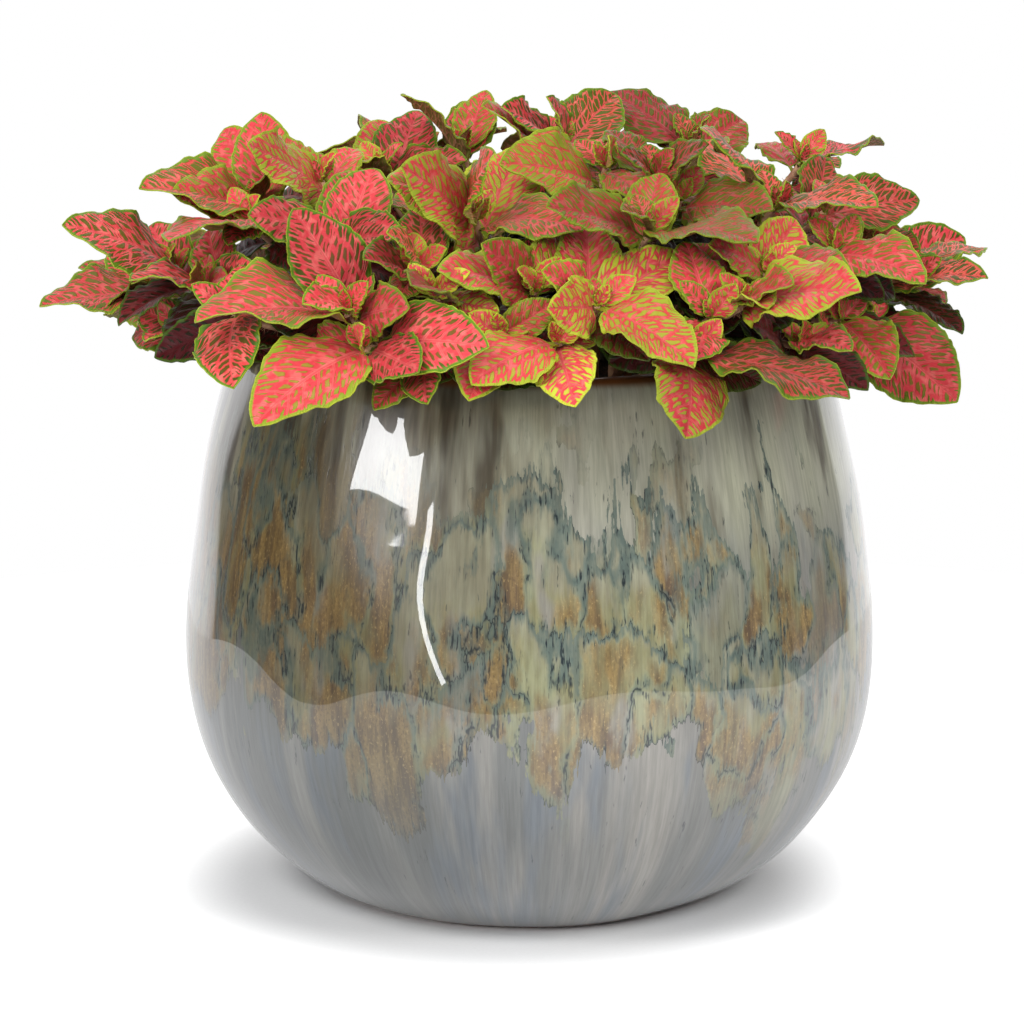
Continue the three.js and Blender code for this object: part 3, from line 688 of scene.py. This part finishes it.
STALK_END = 0.12
STALK_BREADTH = 0.16
BLADE_SKEW = 0.8
BLADE_ROUNDNESS = 0.7
RIPPLES = 2
FAR_SIDE = 2.4
TWIST_MIDDLE = 0.3


def blade_breadth(t):
    """The bare oval's breadth along its length, as a share of its widest: nothing at its root and tip."""
    along = min(max(0.0, (t - STALK_END) / (1 - STALK_END)), 1.0)
    return max(math.sin(math.pi * along**BLADE_SKEW), 0.0) ** BLADE_ROUNDNESS


def outline(t):
    """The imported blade's breadth along its length, with a plain stalk."""
    return max(STALK_BREADTH, blade_breadth(t))


def leaf_point(leaf, t, s, lift, breadth):
    """A point of the blade: t runs from root to tip, s from -1 to 1 across, and lift stands off its face."""
    bend = leaf["bend"]
    angle = bend * (0.5 - t)
    gone = (1 - math.sin(angle) / math.sin(bend / 2)) / 2
    arched = (math.cos(angle) - math.cos(bend / 2)) / bend
    length = leaf["length"]
    middle = leaf["root"] + leaf["along"] * (length * gone) + leaf["face"] * (length * arched)
    up = leaf["face"] * math.cos(angle) - leaf["along"] * math.sin(angle)
    turn = leaf["twist"] * (t - TWIST_MIDDLE)
    across = leaf["side"] * math.cos(turn) + up * math.sin(turn)
    normal = up * math.cos(turn) - leaf["side"] * math.sin(turn)
    reach = leaf["half_width"] * breadth * abs(s)
    ahead = leaf["phase"] + (FAR_SIDE if s < 0 else 0)
    wave = leaf["wave"] * math.sin(2 * math.pi * RIPPLES * t + ahead)
    height = reach * (math.sin(leaf["fold"]) + abs(s) * (wave - leaf["curl"])) + lift
    sideways = math.copysign(reach * math.cos(leaf["fold"]), s)
    return middle + across * sideways + normal * height


# A leaf that would have met another was eased aside as it grew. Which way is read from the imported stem: the
# easing is the least one that puts the leaf's tip and the last corners of its margins on the solid's corners.
EASINGS = [
    (length, heading, rise, roll)
    for length in (1, 0.9, 0.8, 0.68)
    for heading in (0, 9, -9, 18, -18, 27, -27)
    for rise in (0, 7, -7, 14, -14, 24)
    for roll in (0, 16, -16)
]
EASINGS.sort(key=lambda c: abs(c[1]) / 9 + abs(c[2]) / 7 + abs(c[3]) / 20 + (1 - c[0]) * 14)
HALF_THICKNESS = 0.4
LAST_STATIONS = [(31, 0.8), (19, 0.76), (0, 0.66)]
NEAR = 0.03
TOO_FAR = 1.0
ROOT_SLICE = 0.5


def search_tree(places):
    """The places, ready to be searched for the nearest one."""
    tree = KDTree(len(places))
    for number, place in enumerate(places):
        tree.insert(place, number)
    tree.balance()
    return tree


def eased_leaf(plant, index, corners):
    """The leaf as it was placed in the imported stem."""
    best = None
    for easing in EASINGS:
        leaf = place_leaf(plant, index, easing)
        tips = [leaf_point(leaf, 1, 0, lift, 0) for lift in (HALF_THICKNESS, -HALF_THICKNESS)]
        miss = sum(corners.find(mark)[2] for mark in tips) / 2
        if miss > TOO_FAR:
            continue
        station = next(t for least, t in LAST_STATIONS if leaf["length"] >= least)
        edges = [leaf_point(leaf, station, s, HALF_THICKNESS, outline(station)) for s in (-1, 1)]
        miss += sum(corners.find(mark)[2] for mark in edges) / 2
        if best is None or miss < best[0]:
            best = (miss, leaf)
        if miss < NEAR:
            break
    return best[1]


plants = []
for region, rows in STEMS.items():
    for number, (crown, leaves) in enumerate(rows, 1):
        name = f"leafy_stem_{region}_{number}"
        packed = [vertex.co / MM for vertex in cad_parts[name].data.vertices]
        lowest_z = min(corner.z for corner in packed)
        foot = [corner for corner in packed if corner.z < lowest_z + ROOT_SLICE]
        root = sum(foot, Vector()) / len(foot)
        root.z = soil_level(math.hypot(root.x, root.y))
        crown = Vector(crown)
        plant = {"name": name, "region": region, "crown": crown, "leaves": leaves, "lean": lean_of(crown)}
        plant["habits"] = [leaf_habit() for _ in leaves]
        plant["curve"] = stem_curve(root, crown)
        corners = search_tree(packed)
        plant["grown"] = [eased_leaf(plant, index, corners) for index in range(len(leaves))]
        plants.append(plant)


# ------------------------------------------------------------------ leaf surfaces
# A leaf is soft, slightly glossy green tissue, puffed up between sunken veins. The midrib, the side veins
# that sweep forward from it and the net between them are flushed pink, and the margin stays green.
VEIN_SPACING = 4.4
VEIN_SWEEP = 0.72
VEIN_CURVE = 1.15
NET_SIZE = 1.85
NET_SQUEEZE = 0.6
SPECULAR = 0.28


def vein_network():
    """A node group: how much of a vein shows at a place on the blade, and how far the margin is."""
    tree = bpy.data.node_groups.new("vein_network", "ShaderNodeTree")
    tree.interface.new_socket("Breadth", in_out="INPUT", socket_type="NodeSocketFloat")
    for name in ("Vein", "Midrib", "Core", "Puff", "Margin", "Speckle", "Cloud"):
        tree.interface.new_socket(name, in_out="OUTPUT", socket_type="NodeSocketFloat")
    breadth = tree.nodes.new("NodeGroupInput").outputs["Breadth"]
    place = add_node(tree, "Attribute", {"attribute_name": "vein_place"}).outputs["Vector"]
    along, across, margin = axes_of(tree, place)
    length_share = axes_of(tree, add_node(tree, "UVMap").outputs[0])["Y"]
    drift = noise(tree, place, 0.35, 1.0)[0]
    cloud = smooth_step(tree, drift, 0.48, 0.68)
    drift = product(tree, maths(tree, "SUBTRACT", drift, 0.5), 1.2)
    off_midrib = maths(tree, "ABSOLUTE", across)

    def vein_width(strength, gain, least):
        """How wide a vein is: the breadth, by a strength from 0 to 1."""
        return product(tree, breadth, maths(tree, "ADD", product(tree, strength, gain), least))

    midrib_width = vein_width(maths(tree, "SUBTRACT", 1.0, length_share), 0.5, 0.12)
    midrib = smooth_step(tree, maths(tree, "SUBTRACT", off_midrib, midrib_width), 0.25, -0.1)
    # The side veins stand in rows that sweep forward, and the net's meshes follow the same rows.
    swept = product(tree, maths(tree, "POWER", off_midrib, VEIN_CURVE), VEIN_SWEEP)
    row = maths(tree, "ADD", maths(tree, "SUBTRACT", along, swept), drift)
    off_row = maths(tree, "PINGPONG", row, VEIN_SPACING / 2)
    inward = smooth_step(tree, off_midrib, 11.0, 0.0)
    side_vein = maths(tree, "SUBTRACT", off_row, vein_width(inward, 0.24, 0.14))
    side_vein = smooth_step(tree, side_vein, 0.2, -0.06)
    net_place = add_node(tree, "CombineXYZ", None, {"X": row, "Y": product(tree, across, NET_SQUEEZE)})
    settings = {"feature": "DISTANCE_TO_EDGE", "voronoi_dimensions": "2D"}
    values = {"Vector": net_place.outputs[0], "Scale": 1 / NET_SIZE, "Randomness": 0.8}
    off_net = product(tree, add_node(tree, "TexVoronoi", settings, values).outputs["Distance"], NET_SIZE)
    net_vein = maths(tree, "SUBTRACT", off_net, vein_width(inward, 0.2, 0.14))
    net_vein = smooth_step(tree, net_vein, 0.16, -0.06)
    veins = maths(tree, "MAXIMUM", midrib, side_vein)
    midrib_core = smooth_step(tree, off_midrib, 0.34, 0.12)
    side_core = product(tree, smooth_step(tree, off_row, 0.22, 0.05), 0.6)
    pattern = {
        "Vein": product(tree, maths(tree, "MAXIMUM", veins, net_vein), smooth_step(tree, margin, 0.6, 1.2)),
        "Midrib": midrib,
        "Core": maths(tree, "MAXIMUM", midrib_core, side_core),
        "Puff": maths(tree, "SUBTRACT", 1.0, maths(tree, "MAXIMUM", veins, product(tree, net_vein, 0.6))),
        "Margin": margin,
        "Speckle": noise(tree, place, 1.4, 3.0)[0],
        "Cloud": cloud,
    }
    sockets(tree.nodes.new("NodeGroupOutput"), pattern)
    return tree


vein_group = vein_network()


def leaf_surface(name, roughness, greens, limes, salmons, crimsons, vein_breadth, bump_depth):
    """One face of the leaves. The greens are in light, in shade and at the margin, the limes and crimsons in
    light and in shade, and the salmons are rose, orange and pale."""
    material, tree, shader = finish_surface(name, roughness)
    tone = add_node(tree, "Attribute", {"attribute_name": "leaf_tone"}).outputs["Vector"]
    lime, blush, shade = axes_of(tree, tone)
    group = tree.nodes.new("ShaderNodeGroup")
    group.node_tree = vein_group
    breadth = maths(tree, "ADD", product(tree, blush, 1.15 * vein_breadth), 0.4 * vein_breadth)
    veins = sockets(group, {"Breadth": breadth}).outputs
    lime_share = product(tree, lime, lime)
    yellow = blend_colours(tree, shade, *limes)
    tissue = blend_colours(tree, lime_share, blend_colours(tree, shade, *greens[:2]), yellow)

    # The flush is rose, and orange on a leaf that is barely flushed. It is crimson in specks and at each
    # vein's core, and pale in clouds and along the veins on both sides of their core.
    warmth = product(tree, smooth_step(tree, blush, 0.5, 0.2), maths(tree, "SUBTRACT", 1.0, lime_share))
    on_vein = maths(tree, "POWER", maths(tree, "SUBTRACT", 1.0, veins["Puff"]), 3.0)
    pink = blend_colours(tree, product(tree, warmth, 0.8), salmons[0], salmons[1])
    pink = blend_colours(tree, veins["Speckle"], pink, crimsons[0])
    for mask, share in ((veins["Cloud"], 0.4), (veins["Midrib"], 0.25), (on_vein, 0.28)):
        pink = blend_colours(tree, product(tree, mask, share), pink, salmons[2])
    pink = blend_colours(tree, product(tree, veins["Core"], 0.5), pink, crimsons[0])
    pink = blend_colours(tree, shade, pink, crimsons[1])
    flush = product(tree, smooth_step(tree, veins["Margin"], 1.5, 4.5), blush, 0.25)
    tissue = blend_colours(tree, flush, tissue, pink)

    # A green band lies along the margin, and the very edge is lime.
    edge_tissue = blend_colours(tree, lime_share, blend_colours(tree, shade, greens[2], greens[0]), yellow)
    tissue = blend_colours(tree, smooth_step(tree, veins["Margin"], 1.8, 0.6), tissue, edge_tissue)
    colour = blend_colours(tree, veins["Vein"], tissue, pink)
    rim = product(tree, smooth_step(tree, veins["Margin"], 0.34, 0.08), 0.55)
    colour = blend_colours(tree, rim, colour, yellow)
    puffed = {"Height": veins["Puff"], "Strength": 0.6, "Distance": bump_depth * MM}
    relief = add_node(tree, "Bump", None, puffed).outputs[0]
    sockets(shader, {"Base Color": colour, "Normal": relief, "Specular IOR Level": SPECULAR})
    return material


upper_face = leaf_surface(
    "leaf_upper_face",
    0.4,
    (paint(52, 72, 18), paint(12, 20, 6), paint(78, 118, 26)),
    (paint(180, 186, 54), paint(44, 58, 14)),
    (paint(213, 68, 71), paint(220, 118, 70), paint(236, 134, 122)),
    (paint(193, 35, 55), paint(46, 8, 12)),
    1.0,
    0.45,
)
lower_face = leaf_surface(
    "leaf_lower_face",
    0.6,
    (paint(120, 110, 52), paint(42, 38, 18), paint(136, 136, 58)),
    (paint(158, 152, 72), paint(62, 62, 28)),
    (paint(196, 132, 94), paint(192, 138, 84), paint(212, 166, 128)),
    (paint(164, 98, 72), paint(62, 34, 26)),
    0.62,
    -0.3,
)

stem_skin, tree, shader = finish_surface("stem_skin", 0.6)
mottle = noise(tree, add_node(tree, "TexCoord").outputs["Object"], 260.0, 4.0)[0]
bark = blend_colours(tree, smooth_step(tree, mottle, 0.35, 0.65), paint(150, 104, 84), paint(196, 154, 118))
stem_bump = add_node(tree, "Bump", None, {"Height": mottle, "Strength": 0.4, "Distance": 0.3 * MM})
sockets(shader, {"Base Color": bark, "Normal": stem_bump.outputs[0]})


# ------------------------------------------------------------------ leaf blades
# A blade is a thin oval sheet on a short stalk, folded up along its midrib, with waved margins. Two flat
# blades are modelled, a fine one and a plain one for small leaves, and each leaf is a copy that is bent.
def flat_blade(name, columns, rows):
    """A flat sheet, two wide and two long, with its upper face up."""
    bpy.ops.object.select_all(action="DESELECT")
    bpy.ops.mesh.primitive_grid_add(x_subdivisions=columns, y_subdivisions=rows, size=2)
    blade = bpy.context.object
    blade.name = name
    for material in (upper_face, lower_face, stem_skin):
        blade.data.materials.append(material)
    for attribute in ("vein_place", "leaf_tone"):
        blade.data.attributes.new(attribute, "FLOAT_VECTOR", "POINT")
    return blade


fine_blade = flat_blade("fine_blade", 16, 34)
plain_blade = flat_blade("plain_blade", 8, 14)
FINE_FROM = 15.0
FULL_LENGTH = 33.0
SIZE_POWER = 0.4
FINE_STALK_BREADTH = 0.09
TIP_BREADTH = 0.02
SCALLOPS = 11
SCALLOP_DEPTH = 0.018
PUFF = 0.3
MIDRIB_HOLLOW = 1.2
CRISPS = 7
CRISP_HEIGHT = 0.55
INSET = 0.985
PATTERN_STEP = 23 * VEIN_SPACING


def fine_outline(t):
    """The blade's breadth along its length, with a narrow stalk, a pointed tip and shallow scallops."""
    scallop = 1 + SCALLOP_DEPTH * math.sin(2 * math.pi * SCALLOPS * t)
    return max(blade_breadth(t) * scallop, FINE_STALK_BREADTH if t < 0.5 else 0.0, TIP_BREADTH)


def grow_leaf(leaf, tone, number):
    """A copy of a flat blade, bent to a leaf's frame and habit, with its own stretch of the vein pattern."""
    pattern = fine_blade if leaf["length"] > FINE_FROM else plain_blade
    blade = pattern.copy()
    blade.data = pattern.data.copy()
    scene.collection.objects.link(blade)
    size = (leaf["length"] / FULL_LENGTH) ** SIZE_POWER
    vein_places = []
    for vertex in blade.data.vertices:
        s = vertex.co.x
        t = (vertex.co.y + 1) / 2
        breadth = fine_outline(t)
        a = t * leaf["length"] / size
        b = s * leaf["half_width"] * breadth / size
        row = a - VEIN_SWEEP * abs(b) ** VEIN_CURVE
        puffed = -math.cos(2 * math.pi * row / VEIN_SPACING) * math.sin(math.pi * abs(s)) * breadth
        crisp = math.sin(2 * math.pi * CRISPS * t + leaf["phase"] * (3 if s > 0 else 5)) * abs(s) ** 4
        crisp *= CRISP_HEIGHT * min(1.0, breadth)
        swell = PUFF * size * (puffed - math.exp(-((b / MIDRIB_HOLLOW) ** 2))) + crisp * size
        vertex.co = leaf_point(leaf, t * INSET, s * INSET, swell, breadth) * MM
        margin = leaf["half_width"] * breadth * (1 - abs(s)) / size**1.5
        vein_places += [a + number * PATTERN_STEP, b, margin]
    blade.data.attributes["vein_place"].data.foreach_set("vector", vein_places)
    blade.data.attributes["leaf_tone"].data.foreach_set("vector", list(tone) * len(blade.data.vertices))
    return blade


# ------------------------------------------------------------------ young and shaded leaves
# A crown ends in two pairs of young leaves, still small and upright, and further down the stem stand a few
# leaves in the shade. They grow into whatever room is left between the others.
MARKS = [(t, s) for t in (0.35, 0.65, 0.95) for s in (-0.7, 0.0, 0.7)]
OUTER_MARKS = MARKS[3:]
YOUNG_PAIRS = [(11.0, (35, 50)), (6.5, (60, 70))]
SHADED_PAIRS = [(0.86, 24.0), (0.66, 22.0)]
SHADED_RISES = (-20, 0, 20, 40)
LEAST_ROOM = 2.5
LOWEST_TIP = 138.0
HIGHEST_TIP = 186.0
chance = random.Random(4107)
occupied = []


def mark_leaf(leaf):
    """Notes where a leaf lies, so that later ones keep away."""
    occupied.extend(leaf_point(leaf, t, s, 0.0, outline(t)) for t, s in MARKS)


def free_leaf(plant, root, headings, rises, length, crowd):
    """A leaf from a root on the stem, in the heading and rise that keep it furthest from the others, and how
    far that is."""
    habit = {"breadth": chance.uniform(0.56, 0.68), "bend": chance.uniform(0.3, 0.8)}
    habit |= {"fold": chance.uniform(0.1, 0.35), "curl": chance.uniform(0, 0.15)}
    habit |= {"twist": chance.uniform(-0.3, 0.3), "wave": chance.uniform(0.06, 0.14)}
    habit |= {"phase": chance.uniform(0, 2 * math.pi), "length": length, "root": root}
    habit["half_width"] = length * habit["breadth"] / 2
    best = None
    for heading in headings:
        for rise in rises:
            turn, climb = math.radians(heading), math.radians(rise)
            flat = math.cos(climb)
            along = Vector((flat * math.cos(turn), flat * math.sin(turn), math.sin(climb)))
            face = turned_up(plant, along)
            leaf = {**habit, "along": along, "face": face, "side": along.cross(face)}
            room = min(crowd.find(leaf_point(leaf, t, s, 0.0, outline(t)))[2] for t, s in OUTER_MARKS)
            if best is None or room > best[1]:
                best = (leaf, room)
    return best


for plant in plants:
    for leaf in plant["grown"]:
        mark_leaf(leaf)

for plant in plants:
    plant["young"] = []
    plant["shaded"] = []
    crowd = search_tree(occupied)
    start = chance.uniform(0, 180)
    for length, rises in YOUNG_PAIRS:
        start += 90
        for turn in (0, 180):
            headings = [start + turn + ease for ease in (-25, 0, 25)]
            own_length = length * chance.uniform(0.85, 1.15)
            leaf, room = free_leaf(plant, plant["crown"], headings, rises, own_length, crowd)
            plant["young"].append(leaf)
            mark_leaf(leaf)
    crowd = search_tree(occupied)
    for share, length in SHADED_PAIRS:
        root = bow(plant["curve"], share)
        for turn in (0, 180):
            headings = [start + turn + ease for ease in range(-80, 81, 20)]
            own_length = length * chance.uniform(0.8, 1.15)
            leaf, room = free_leaf(plant, root, headings, SHADED_RISES, own_length, crowd)
            leaf["tip_z"] = leaf_point(leaf, 1, 0, 0, 0).z
            if room > LEAST_ROOM and LOWEST_TIP < leaf["tip_z"] < HIGHEST_TIP:
                plant["shaded"].append(leaf)
                mark_leaf(leaf)


# ------------------------------------------------------------------ leafy stems, each as one grown piece
# The stem is a slim fleshy rod, swollen where its leaves leave it. Its own leaves are rooted in it, so a
# stem and its leaves are joined into one piece, which stands in for that stem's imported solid.
LEAF_THICKNESS = 0.32
STEM_DEPTH = 7.0
STEM_RADIUS = 1.25
STEM_TIP_RADIUS = 0.85
STEM_STEPS = 22
JOINT_SWELLING = 0.25
JOINT_PITCH = 34.0
JOINT_SHARPNESS = 6
HAIRS = 110
HAIR_FOOT = 0.7
HAIR_ROOT_RADIUS = 0.08
HAIR_TIP_RADIUS = 0.03
hair_chance = random.Random(77)


def grow_stem(plant):
    """The bare stem, a round curve through its handles, with fine hairs, made a mesh."""
    curve = bpy.data.curves.new("stem", "CURVE")
    curve.dimensions = "3D"
    curve.bevel_depth = MM
    curve.bevel_resolution = 2
    curve.use_fill_caps = True
    handles = plant["curve"]
    shares = [step / STEM_STEPS for step in range(STEM_STEPS + 1)]
    places = [handles[0] - Vector((0, 0, STEM_DEPTH))] + [bow(handles, share) for share in shares]
    spline = curve.splines.new("POLY")
    spline.points.add(len(places) - 1)
    for point, place, share in zip(spline.points, places, [0.0] + shares):
        point.co = (*(place * MM), 1)
        swelling = JOINT_SWELLING * max(0.0, math.sin(share * JOINT_PITCH)) ** JOINT_SHARPNESS
        point.radius = STEM_RADIUS + (STEM_TIP_RADIUS - STEM_RADIUS) * share + swelling
    for _ in range(HAIRS):
        share = hair_chance.uniform(0.3, 0.98)
        middle = bow(handles, share)
        ahead = (bow(handles, share + 0.02) - middle).normalized()
        turn = hair_chance.uniform(0, 2 * math.pi)
        out = Matrix.Rotation(turn, 3, ahead) @ ahead.orthogonal().normalized()
        out = (out + ahead * hair_chance.uniform(-0.1, 0.5)).normalized()
        hair = curve.splines.new("POLY")
        hair.points.add(1)
        ends = ((HAIR_FOOT, HAIR_ROOT_RADIUS), (hair_chance.uniform(1.7, 2.7), HAIR_TIP_RADIUS))
        for point, (distance, radius) in zip(hair.points, ends):
            point.co = (*((middle + out * distance) * MM), 1)
            point.radius = radius
    rod = bpy.data.objects.new("stem", curve)
    scene.collection.objects.link(rod)
    bpy.ops.object.select_all(action="DESELECT")
    rod.select_set(True)
    bpy.context.view_layer.objects.active = rod
    bpy.ops.object.convert(target="MESH")
    rod = bpy.context.object
    for face in rod.data.polygons:
        face.use_smooth = True
    rod.data.materials.clear()
    rod.data.materials.append(stem_skin)
    return rod


def join(parts):
    """Joins several meshes into the first of them."""
    bpy.ops.object.select_all(action="DESELECT")
    for part in parts:
        part.select_set(True)
    bpy.context.view_layer.objects.active = parts[0]
    bpy.ops.object.join()
    return bpy.context.object


# How lime, how flushed and how shaded a region's leaves are, from 0 to 1. Each leaf differs a little from its
# region. The shaded leaves inside the plant are the darkest, but less so where they stand high, in the light.
REGION_TONES = {
    "left": (0.42, 0.48, 0.0),
    "front_left": (0.38, 0.6, 0.0),
    "top_left": (0.58, 0.34, 0.05),
    "top": (0.46, 0.26, 0.15),
    "top_right": (0.42, 0.28, 0.3),
    "front": (0.92, 0.4, 0.05),
    "front_right": (0.58, 0.5, 0.1),
    "right": (0.4, 0.4, 0.1),
    "low_right": (0.54, 0.5, 0.0),
    "back": (0.44, 0.46, 0.08),
}
YOUTH = {"grown": 0.0, "young": 0.1, "shaded": -0.2}
OWN_LIME = 0.3
OWN_BLUSH = 0.22
LEAST_BLUSH = 0.1
SHADE_TOP = 164
SHADE_FADE = 14
LIGHTENING = 0.7

leaf_number = 0
for plant in plants:
    lime, blush, shade = REGION_TONES[plant["region"]]
    blades = []
    for kind, youth in YOUTH.items():
        for leaf in plant[kind]:
            leaf_number += 1
            own_lime = min(max(lime + youth + chance.uniform(-OWN_LIME, OWN_LIME), 0), 1)
            own_blush = min(max(blush + chance.uniform(-OWN_BLUSH, OWN_BLUSH), LEAST_BLUSH), 1)
            depths = {"grown": chance.uniform(0.0, 0.32), "young": 0.0, "shaded": chance.uniform(0.8, 1.0)}
            depth = depths[kind]
            if kind == "shaded":
                depth *= 1 - LIGHTENING * min(max((leaf["tip_z"] - SHADE_TOP) / SHADE_FADE, 0), 1)
            blades.append(grow_leaf(leaf, (own_lime, own_blush, min(depth + shade, 1)), leaf_number))
    leafage = join(blades)
    thickening = leafage.modifiers.new("thickness", "SOLIDIFY")
    thickening.thickness = LEAF_THICKNESS * MM
    thickening.offset = 0.0
    thickening.material_offset = 1
    bpy.ops.object.modifier_apply(modifier="thickness")
    bpy.ops.object.shade_smooth_by_angle(angle=math.radians(60))
    leafage = join([leafage, grow_stem(plant)])
    leafage.name = plant["name"].replace("leafy_stem", "nerve_plant")
    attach(leafage, "root")
    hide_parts(plant["name"])

for pattern in (fine_blade, plain_blade):
    bpy.data.objects.remove(pattern)
